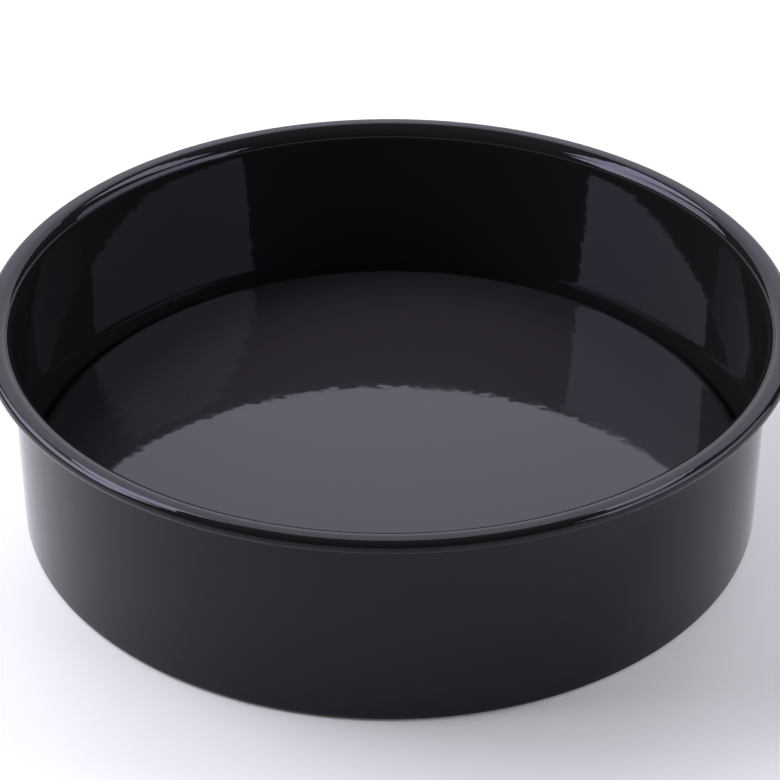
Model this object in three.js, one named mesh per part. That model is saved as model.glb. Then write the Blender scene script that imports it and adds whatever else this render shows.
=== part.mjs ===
// Round cake pan with a loose base: a sheet-metal ring, the raised base that stands in it, and the wire in its rim.
// Millimetres, +Z up, origin at the centre of the ring's foot.
import * as THREE from 'three';

// Pan sizes
const INNER_RADIUS = 120.0;
const PAN_HEIGHT = 71.0;
const SHEET = 0.8;
const OUTER_RADIUS = INNER_RADIUS + SHEET;

// Rolled rim: the wall flares out, runs level for a little way and curls under round the wire
const RIM_RADIUS = 129.0;
const FLARE_RADIUS = 5.0;
const CURL_RADIUS = 2.2;
const CURL_INNER_RADIUS = CURL_RADIUS - SHEET;
const CURL_TURN = 270;
const FLARE_CENTRE_R = INNER_RADIUS + FLARE_RADIUS;
const FLARE_CENTRE_Z = PAN_HEIGHT - FLARE_RADIUS;
const CURL_CENTRE_R = RIM_RADIUS - CURL_RADIUS;
const CURL_CENTRE_Z = PAN_HEIGHT - CURL_RADIUS;

// Wire that the rim is curled round
const WIRE_CLEARANCE = 0.3;
const WIRE_RADIUS = CURL_INNER_RADIUS - WIRE_CLEARANCE;

// Foot: the wall turns inward at the bottom into a flat ledge that the base stands on
const LEDGE_WIDTH = 10.0;
const FOOT_CORNER = 1.8;
const FOOT_CORNER_INNER = FOOT_CORNER - SHEET;
const FOOT_CORNER_R = OUTER_RADIUS - FOOT_CORNER;
const LEDGE_INNER_RADIUS = OUTER_RADIUS - LEDGE_WIDTH;

// Loose base: a flat panel whose edge rounds over into a skirt
const BASE_GAP = 1.0;
const BASE_SEAT_GAP = 0.3;
const BASE_TOP = 14.2;
const BASE_SHEET = 0.8;
const BASE_EDGE = 5.0;
const BASE_RADIUS = INNER_RADIUS - BASE_GAP;
const BASE_BOTTOM = SHEET + BASE_SEAT_GAP;
const BASE_EDGE_R = BASE_RADIUS - BASE_EDGE;
const BASE_EDGE_Z = BASE_TOP - BASE_EDGE;

// Facets round the axis and along the bends
const ROUND_FACETS = 64;
const CORNER_FACETS = 3;
const FLARE_FACETS = 6;
const CURL_FACETS = 11;
const EDGE_FACETS = 5;
const WIRE_FACETS = 8;

// Points of an arc in the radius and height plane, both ends included, angles in degrees
function arc(centreR, centreZ, radius, from, to, facets) {
  const points = [];
  for (let step = 0; step <= facets; step += 1) {
    const angle = THREE.MathUtils.degToRad(from + ((to - from) * step) / facets);
    const r = centreR + radius * Math.cos(angle);
    const z = centreZ + radius * Math.sin(angle);
    points.push(new THREE.Vector2(r, z));
  }
  return points;
}

// Body of revolution about +Z from a profile that runs anticlockwise
function turned(name, profile, material) {
  const geometry = new THREE.LatheGeometry(profile, ROUND_FACETS);
  geometry.rotateX(Math.PI / 2);
  const mesh = new THREE.Mesh(geometry, material);
  mesh.name = name;
  return mesh;
}

// Closes a profile on its own first point
function closed(points) {
  return [...points, points[0].clone()];
}

// Sheet of the ring, followed from the ledge up its outside and back down its inside
function ringProfile() {
  const curlEnd = 90 - CURL_TURN;
  const outside = [
    new THREE.Vector2(LEDGE_INNER_RADIUS, 0),
    ...arc(FOOT_CORNER_R, FOOT_CORNER, FOOT_CORNER, -90, 0, CORNER_FACETS),
    ...arc(FLARE_CENTRE_R, FLARE_CENTRE_Z, FLARE_RADIUS - SHEET, 180, 90, FLARE_FACETS),
    ...arc(CURL_CENTRE_R, CURL_CENTRE_Z, CURL_INNER_RADIUS, 90, curlEnd, CURL_FACETS),
  ];
  const inside = [
    ...arc(CURL_CENTRE_R, CURL_CENTRE_Z, CURL_RADIUS, curlEnd, 90, CURL_FACETS),
    ...arc(FLARE_CENTRE_R, FLARE_CENTRE_Z, FLARE_RADIUS, 90, 180, FLARE_FACETS),
    ...arc(FOOT_CORNER_R, FOOT_CORNER, FOOT_CORNER_INNER, 0, -90, CORNER_FACETS),
    new THREE.Vector2(LEDGE_INNER_RADIUS, SHEET),
  ];
  return closed([...outside, ...inside]);
}

// Sheet of the base, from the middle of its underside round the skirt to the middle of its top
function baseProfile() {
  const under = [
    new THREE.Vector2(0, BASE_TOP - BASE_SHEET),
    ...arc(BASE_EDGE_R, BASE_EDGE_Z, BASE_EDGE - BASE_SHEET, 90, 0, EDGE_FACETS),
    new THREE.Vector2(BASE_RADIUS - BASE_SHEET, BASE_BOTTOM),
  ];
  const over = [
    new THREE.Vector2(BASE_RADIUS, BASE_BOTTOM),
    ...arc(BASE_EDGE_R, BASE_EDGE_Z, BASE_EDGE, 0, 90, EDGE_FACETS),
    new THREE.Vector2(0, BASE_TOP),
  ];
  return [...under, ...over];
}

// Round wire bent to a hoop
function wireProfile() {
  const circle = arc(CURL_CENTRE_R, CURL_CENTRE_Z, WIRE_RADIUS, 0, 360, WIRE_FACETS);
  circle.pop();
  return closed(circle);
}

const ringCoating = new THREE.MeshStandardMaterial({ color: 0x1f1d21, roughness: 0.12, metalness: 0.0 });
const baseCoating = new THREE.MeshStandardMaterial({ color: 0x201e22, roughness: 0.1, metalness: 0.0 });
const wireSteel = new THREE.MeshStandardMaterial({ color: 0x9a9c9f, roughness: 0.4, metalness: 1.0 });

const pan = new THREE.Group();
pan.name = 'cake_pan';
pan.add(turned('pan_ring', ringProfile(), ringCoating));
pan.add(turned('loose_base', baseProfile(), baseCoating));
pan.add(turned('rim_wire', wireProfile(), wireSteel));

export default pan;
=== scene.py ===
import math

import bpy
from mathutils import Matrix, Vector


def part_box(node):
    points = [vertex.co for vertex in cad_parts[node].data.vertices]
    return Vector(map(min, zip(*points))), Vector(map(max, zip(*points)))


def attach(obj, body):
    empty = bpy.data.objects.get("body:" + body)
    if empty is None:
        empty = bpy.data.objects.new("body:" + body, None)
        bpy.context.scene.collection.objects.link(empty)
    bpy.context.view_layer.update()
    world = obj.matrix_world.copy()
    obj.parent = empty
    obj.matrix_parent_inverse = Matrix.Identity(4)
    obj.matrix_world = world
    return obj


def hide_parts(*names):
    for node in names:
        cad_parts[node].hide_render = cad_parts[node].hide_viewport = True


# Round loose-base cake pan: fine sheet-metal meshes, the coating, and a small product studio
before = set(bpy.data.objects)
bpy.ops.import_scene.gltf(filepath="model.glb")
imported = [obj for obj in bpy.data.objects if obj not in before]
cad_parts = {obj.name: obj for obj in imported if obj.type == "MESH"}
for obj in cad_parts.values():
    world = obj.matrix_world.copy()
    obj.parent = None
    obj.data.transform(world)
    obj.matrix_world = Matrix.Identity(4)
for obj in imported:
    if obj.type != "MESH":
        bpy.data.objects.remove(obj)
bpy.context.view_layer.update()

MM = 0.001

# Sizes of the pan, in metres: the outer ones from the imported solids, the others as in the solids
ring_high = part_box("pan_ring")[1]
base_low, base_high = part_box("loose_base")
wire_low, wire_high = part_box("rim_wire")
RIM_RADIUS = ring_high[0]
PAN_HEIGHT = ring_high[2]
BASE_RADIUS = base_high[0]
BASE_BOTTOM = base_low[2]
BASE_TOP = base_high[2]
WIRE_RADIUS = (wire_high[2] - wire_low[2]) / 2
WIRE_HEIGHT = (wire_high[2] + wire_low[2]) / 2
HOOP_RADIUS = wire_high[0] - WIRE_RADIUS
SHEET = 0.8 * MM
HALF_SHEET = SHEET / 2
BASE_GAP = 1.0 * MM
INNER_RADIUS = BASE_RADIUS + BASE_GAP
OUTER_RADIUS = INNER_RADIUS + SHEET
FLARE_RADIUS = 5.0 * MM
CURL_RADIUS = 2.2 * MM
LEDGE_WIDTH = 10.0 * MM
FOOT_CORNER = 1.8 * MM
BASE_EDGE = 5.0 * MM

# Fineness of the meshes
ROUND_STEPS = 360
ARC_STEP = math.radians(6.0)
FEWEST_ARC_STEPS = 3
WALL_STEPS = 24
BASE_RINGS = 48
AXIS_TOLERANCE = 1e-9


def arc(centre_r, centre_z, radius, start, end):
    """Points of an arc in the radius and height plane, both ends included, angles in degrees."""
    turn = math.radians(end - start)
    count = max(FEWEST_ARC_STEPS, round(abs(turn) / ARC_STEP))
    points = []
    for step in range(count + 1):
        angle = math.radians(start) + turn * step / count
        points.append((centre_r + radius * math.cos(angle), centre_z + radius * math.sin(angle)))
    return points


def straight(start, end, count):
    """Points between two points of a profile, without its ends."""
    points = []
    for step in range(1, count):
        share = step / count
        points.append((start[0] + (end[0] - start[0]) * share, start[1] + (end[1] - start[1]) * share))
    return points


def turned(name, profile, closed):
    """A surface of revolution about +Z; a point of the profile on the axis becomes a single vertex."""
    rings = []
    vertices = []
    for r, z in profile:
        if r < AXIS_TOLERANCE:
            rings.append([len(vertices)])
            vertices.append((0.0, 0.0, z))
            continue
        rings.append(range(len(vertices), len(vertices) + ROUND_STEPS))
        for step in range(ROUND_STEPS):
            angle = 2 * math.pi * step / ROUND_STEPS
            vertices.append((r * math.cos(angle), r * math.sin(angle), z))
    faces = []
    pairs = list(zip(rings, rings[1:]))
    if closed:
        pairs.append((rings[-1], rings[0]))
    for lower, upper in pairs:
        for step in range(ROUND_STEPS):
            after = (step + 1) % ROUND_STEPS
            if len(lower) == 1:
                faces.append((lower[0], upper[after], upper[step]))
            elif len(upper) == 1:
                faces.append((lower[step], lower[after], upper[0]))
            else:
                faces.append((lower[step], lower[after], upper[after], upper[step]))
    mesh = bpy.data.meshes.new(name)
    mesh.from_pydata(vertices, [], faces)
    mesh.shade_smooth()
    piece = bpy.data.objects.new(name, mesh)
    bpy.context.scene.collection.objects.link(piece)
    return piece


def ring_profile():
    """The ring's sheet, followed from the ledge up its outside and back down its inside."""
    curl_r = RIM_RADIUS - CURL_RADIUS
    curl_z = PAN_HEIGHT - CURL_RADIUS
    flare_r = INNER_RADIUS + FLARE_RADIUS
    flare_z = PAN_HEIGHT - FLARE_RADIUS
    corner_r = OUTER_RADIUS - FOOT_CORNER
    ledge_r = OUTER_RADIUS - LEDGE_WIDTH
    ledge_edge = arc(ledge_r + HALF_SHEET, HALF_SHEET, HALF_SHEET, 90, 270)
    corner_out = arc(corner_r, FOOT_CORNER, FOOT_CORNER, -90, 0)
    flare_out = arc(flare_r, flare_z, FLARE_RADIUS - SHEET, 180, 90)
    curl_in = arc(curl_r, curl_z, CURL_RADIUS - SHEET, 90, -180)
    curl_end = arc(curl_r - CURL_RADIUS + HALF_SHEET, curl_z, HALF_SHEET, 0, 180)
    curl_out = arc(curl_r, curl_z, CURL_RADIUS, -180, 90)
    flare_in = arc(flare_r, flare_z, FLARE_RADIUS, 90, 180)
    corner_in = arc(corner_r, FOOT_CORNER, FOOT_CORNER - SHEET, 0, -90)
    wall_out = straight(corner_out[-1], flare_out[0], WALL_STEPS)
    wall_in = straight(flare_in[-1], corner_in[0], WALL_STEPS)
    outside = ledge_edge + corner_out + wall_out + flare_out + curl_in[1:]
    inside = curl_end[1:-1] + curl_out + flare_in + wall_in + corner_in
    return outside + inside


def base_profile():
    """The base's sheet: a flat panel whose edge rounds over into a skirt, underside first."""
    edge_r = BASE_RADIUS - BASE_EDGE
    edge_z = BASE_TOP - BASE_EDGE
    under_middle = (0.0, BASE_TOP - SHEET)
    top_middle = (0.0, BASE_TOP)
    under_edge = arc(edge_r, edge_z, BASE_EDGE - SHEET, 90, 0)
    skirt_end = arc(BASE_RADIUS - HALF_SHEET, BASE_BOTTOM + HALF_SHEET, HALF_SHEET, -180, 0)
    top_edge = arc(edge_r, edge_z, BASE_EDGE, 0, 90)
    under = [under_middle] + straight(under_middle, under_edge[0], BASE_RINGS)
    top = straight(top_edge[-1], top_middle, BASE_RINGS) + [top_middle]
    return under + under_edge + skirt_end + top_edge + top


def wire_profile():
    """The round wire inside the rolled rim."""
    return arc(HOOP_RADIUS, WIRE_HEIGHT, WIRE_RADIUS, 0, 360)[:-1]


# Coating: colours, reflectance, and the size and depth of its orange peel
# The ring and the base wear one coat; the base's colour is lighter, painted light for the light on its
# upward face, and the ring's is darker, painted shade on its walls
RING_SHADED_COLOUR = (0.0105, 0.0088, 0.0095, 1.0)
BASE_LIT_COLOUR = (0.0215, 0.0186, 0.0215, 1.0)
GLOSS_TINT = (0.80, 0.78, 1.0, 1.0)
RING_IOR = 1.333
BASE_IOR = 1.42
ROUGHNESS_LEAST = 0.032
ROUGHNESS_MOST = 0.052
HAZE_SCALE = 22.0
HAZE_DETAIL = 3.0
PEEL_SCALE = 310.0
PEEL_DETAIL = 0.0
PEEL_STRENGTH = 0.036
PEEL_HEIGHT = 0.00055

# Wire: bare steel in two tones
WIRE_DARK = (0.36, 0.36, 0.37, 1.0)
WIRE_PALE = (0.58, 0.58, 0.59, 1.0)
WIRE_ROUGHNESS = 0.38
GRAIN_SCALE = 400.0
GRAIN_DETAIL = 4.0


def node_material(name):
    """A new material with its nodes, links and main shader."""
    material = bpy.data.materials.new(name)
    material.use_nodes = True
    nodes = material.node_tree.nodes
    links = material.node_tree.links
    return material, nodes, links, nodes["Principled BSDF"]


def noise(nodes, links, scale, detail):
    """The value of a noise that is fixed to the piece."""
    place = nodes.new("ShaderNodeTexCoord")
    texture = nodes.new("ShaderNodeTexNoise")
    texture.inputs["Scale"].default_value = scale
    texture.inputs["Detail"].default_value = detail
    links.new(place.outputs["Object"], texture.inputs["Vector"])
    return texture.outputs["Fac"]


def coating_material(name, colour, ior):
    """Glossy near-black coating with a faint orange peel and slightly uneven gloss."""
    material, nodes, links, shader = node_material(name)
    shader.inputs["IOR"].default_value = ior
    shader.inputs["Base Color"].default_value = colour
    shader.inputs["Specular Tint"].default_value = GLOSS_TINT
    bump = nodes.new("ShaderNodeBump")
    bump.inputs["Strength"].default_value = PEEL_STRENGTH
    bump.inputs["Distance"].default_value = PEEL_HEIGHT
    links.new(noise(nodes, links, PEEL_SCALE, PEEL_DETAIL), bump.inputs["Height"])
    links.new(bump.outputs["Normal"], shader.inputs["Normal"])
    gloss = nodes.new("ShaderNodeMapRange")
    gloss.inputs["To Min"].default_value = ROUGHNESS_LEAST
    gloss.inputs["To Max"].default_value = ROUGHNESS_MOST
    links.new(noise(nodes, links, HAZE_SCALE, HAZE_DETAIL), gloss.inputs["Value"])
    links.new(gloss.outputs["Result"], shader.inputs["Roughness"])
    return material


def wire_material():
    """Drawn steel wire with a fine grain."""
    material, nodes, links, shader = node_material("drawn_steel")
    shader.inputs["Metallic"].default_value = 1.0
    shader.inputs["Roughness"].default_value = WIRE_ROUGHNESS
    tone = nodes.new("ShaderNodeValToRGB")
    tone.color_ramp.elements[0].color = WIRE_DARK
    tone.color_ramp.elements[1].color = WIRE_PALE
    links.new(noise(nodes, links, GRAIN_SCALE, GRAIN_DETAIL), tone.inputs["Fac"])
    links.new(tone.outputs["Color"], shader.inputs["Base Color"])
    return material


def dress(piece, body, node, material):
    """Gives a piece its material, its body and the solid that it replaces."""
    piece.data.materials.append(material)
    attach(piece, body)
    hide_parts(node)


ring_coating = coating_material("ring_enamel", RING_SHADED_COLOUR, RING_IOR)
base_coating = coating_material("base_enamel", BASE_LIT_COLOUR, BASE_IOR)
dress(turned("ring_shell", ring_profile(), True), "ring", "pan_ring", ring_coating)
dress(turned("base_tray", base_profile(), False), "base", "loose_base", base_coating)
dress(turned("rim_hoop", wire_profile(), True), "ring", "rim_wire", wire_material())

# Studio: pale floor, bright screen behind, soft boxes at the sides, dark in front and overhead
LAMP_COLOUR = (0.98, 0.965, 1.09)
WORLD_COLOUR = (1.0, 1.0, 1.0, 1.0)
WORLD_LEVEL = 0.02
SCREEN_DISTANCE = 2.0
SIDE_DISTANCE = 0.9

# Sweep: a floor that turns up into a low backdrop all round, far from the pan
FLOOR_COLOUR = (0.80, 0.80, 0.785, 1.0)
SWEEP_RADIUS = 6.0
SWEEP_BEND = 1.0
GLOW_START = 0.42
GLOW_END = 0.9
GLOW_NEAR = 0.05


def sweep_material():
    """Matt pale paint that the camera and reflections see as plain white far from the pan."""
    material, nodes, links, shader = node_material("sweep_paint")
    shader.inputs["Base Color"].default_value = FLOOR_COLOUR
    shader.inputs["Roughness"].default_value = 1.0
    shader.inputs["Specular IOR Level"].default_value = 0.0
    place = nodes.new("ShaderNodeTexCoord")
    reach = nodes.new("ShaderNodeVectorMath")
    reach.operation = "LENGTH"
    links.new(place.outputs["Object"], reach.inputs[0])
    glow = nodes.new("ShaderNodeMapRange")
    glow.interpolation_type = "SMOOTHSTEP"
    glow.inputs["From Min"].default_value = GLOW_START
    glow.inputs["From Max"].default_value = GLOW_END
    glow.inputs["To Min"].default_value = GLOW_NEAR
    links.new(reach.outputs["Value"], glow.inputs["Value"])
    path = nodes.new("ShaderNodeLightPath")
    seen = path.outputs["Is Camera Ray"]
    for ray in ("Is Glossy Ray", "Is Transmission Ray"):
        either = nodes.new("ShaderNodeMath")
        either.operation = "MAXIMUM"
        links.new(seen, either.inputs[0])
        links.new(path.outputs[ray], either.inputs[1])
        seen = either.outputs["Value"]
    share = nodes.new("ShaderNodeMath")
    share.operation = "MULTIPLY"
    links.new(glow.outputs["Result"], share.inputs[0])
    links.new(seen, share.inputs[1])
    white = nodes.new("ShaderNodeEmission")
    mix = nodes.new("ShaderNodeMixShader")
    links.new(share.outputs["Value"], mix.inputs["Fac"])
    links.new(shader.outputs["BSDF"], mix.inputs[1])
    links.new(white.outputs["Emission"], mix.inputs[2])
    links.new(mix.outputs["Shader"], nodes["Material Output"].inputs["Surface"])
    return material


def soft_box(name, azimuth, elevation, width, height, radiance, distance=SIDE_DISTANCE):
    """An area lamp that faces the pan; azimuth is from the camera's side, positive to the right."""
    turn = math.radians(azimuth)
    rise = math.radians(elevation)
    way = Vector((math.sin(turn) * math.cos(rise), -math.cos(turn) * math.cos(rise), math.sin(rise)))
    data = bpy.data.lights.new(name, "AREA")
    data.shape = "RECTANGLE"
    data.size = width
    data.size_y = height
    data.energy = radiance * math.pi * width * height
    data.color = LAMP_COLOUR
    lamp = bpy.data.objects.new(name, data)
    lamp.location = way * distance
    lamp.rotation_euler = way.to_track_quat("Z", "Y").to_euler()
    lamp.visible_camera = False
    bpy.context.scene.collection.objects.link(lamp)
    return lamp


def fade(lamp, first, last):
    """Changes a lamp's level across its width, from one edge to the other."""
    lamp.data.use_nodes = True
    nodes = lamp.data.node_tree.nodes
    links = lamp.data.node_tree.links
    place = nodes.new("ShaderNodeNewGeometry")
    split = nodes.new("ShaderNodeSeparateXYZ")
    links.new(place.outputs["Parametric"], split.inputs["Vector"])
    level = nodes.new("ShaderNodeMapRange")
    level.inputs["To Min"].default_value = first
    level.inputs["To Max"].default_value = last
    links.new(split.outputs["X"], level.inputs["Value"])
    links.new(level.outputs["Result"], nodes["Emission"].inputs["Strength"])


bend = arc(SWEEP_RADIUS - SWEEP_BEND, SWEEP_BEND, SWEEP_BEND, -90, 0)
sweep = turned("sweep", [(0.0, 0.0)] + bend, False)
sweep.data.materials.append(sweep_material())

world = bpy.data.worlds.new("studio")
world.use_nodes = True
background = world.node_tree.nodes["Background"]
background.inputs["Color"].default_value = WORLD_COLOUR
background.inputs["Strength"].default_value = WORLD_LEVEL
bpy.context.scene.world = world

soft_box("screen", azimuth=180.0, elevation=31.0, width=2.2, height=1.3, radiance=1.71,
         distance=SCREEN_DISTANCE)
key_left = soft_box("key_left", azimuth=-99.0, elevation=36.0, width=0.82, height=0.40, radiance=8.0)
soft_box("key_left_high", azimuth=-119.0, elevation=58.0, width=0.76, height=0.21, radiance=8.4)
fill_right = soft_box("fill_right", azimuth=83.0, elevation=29.0, width=0.96, height=0.40, radiance=4.3)
soft_box("fill_right_high", azimuth=118.0, elevation=59.0, width=0.62, height=0.17, radiance=5.8)
fade(key_left, first=0.55, last=1.45)
fade(fill_right, first=1.45, last=0.5)

# Camera at the photograph's viewing angle, 780 by 780 pixels
IMAGE_SIZE = 780.0
SENSOR = 36.0
FOCAL_PIXELS = 2465.5
VIEW_RISE = math.radians(33.342)
VIEW_DISTANCE = 0.8048
AIM = Vector((0.0, 0.0, 0.03726))
camera_data = bpy.data.cameras.new("camera")
camera_data.sensor_width = SENSOR
camera_data.lens = FOCAL_PIXELS / IMAGE_SIZE * SENSOR
camera = bpy.data.objects.new("camera", camera_data)
back = Vector((0.0, -math.cos(VIEW_RISE), math.sin(VIEW_RISE)))
camera.location = AIM + back * VIEW_DISTANCE
camera.rotation_euler = back.to_track_quat("Z", "Y").to_euler()
bpy.context.scene.collection.objects.link(camera)
bpy.context.scene.camera = camera
bpy.context.scene.view_settings.view_transform = "Standard"
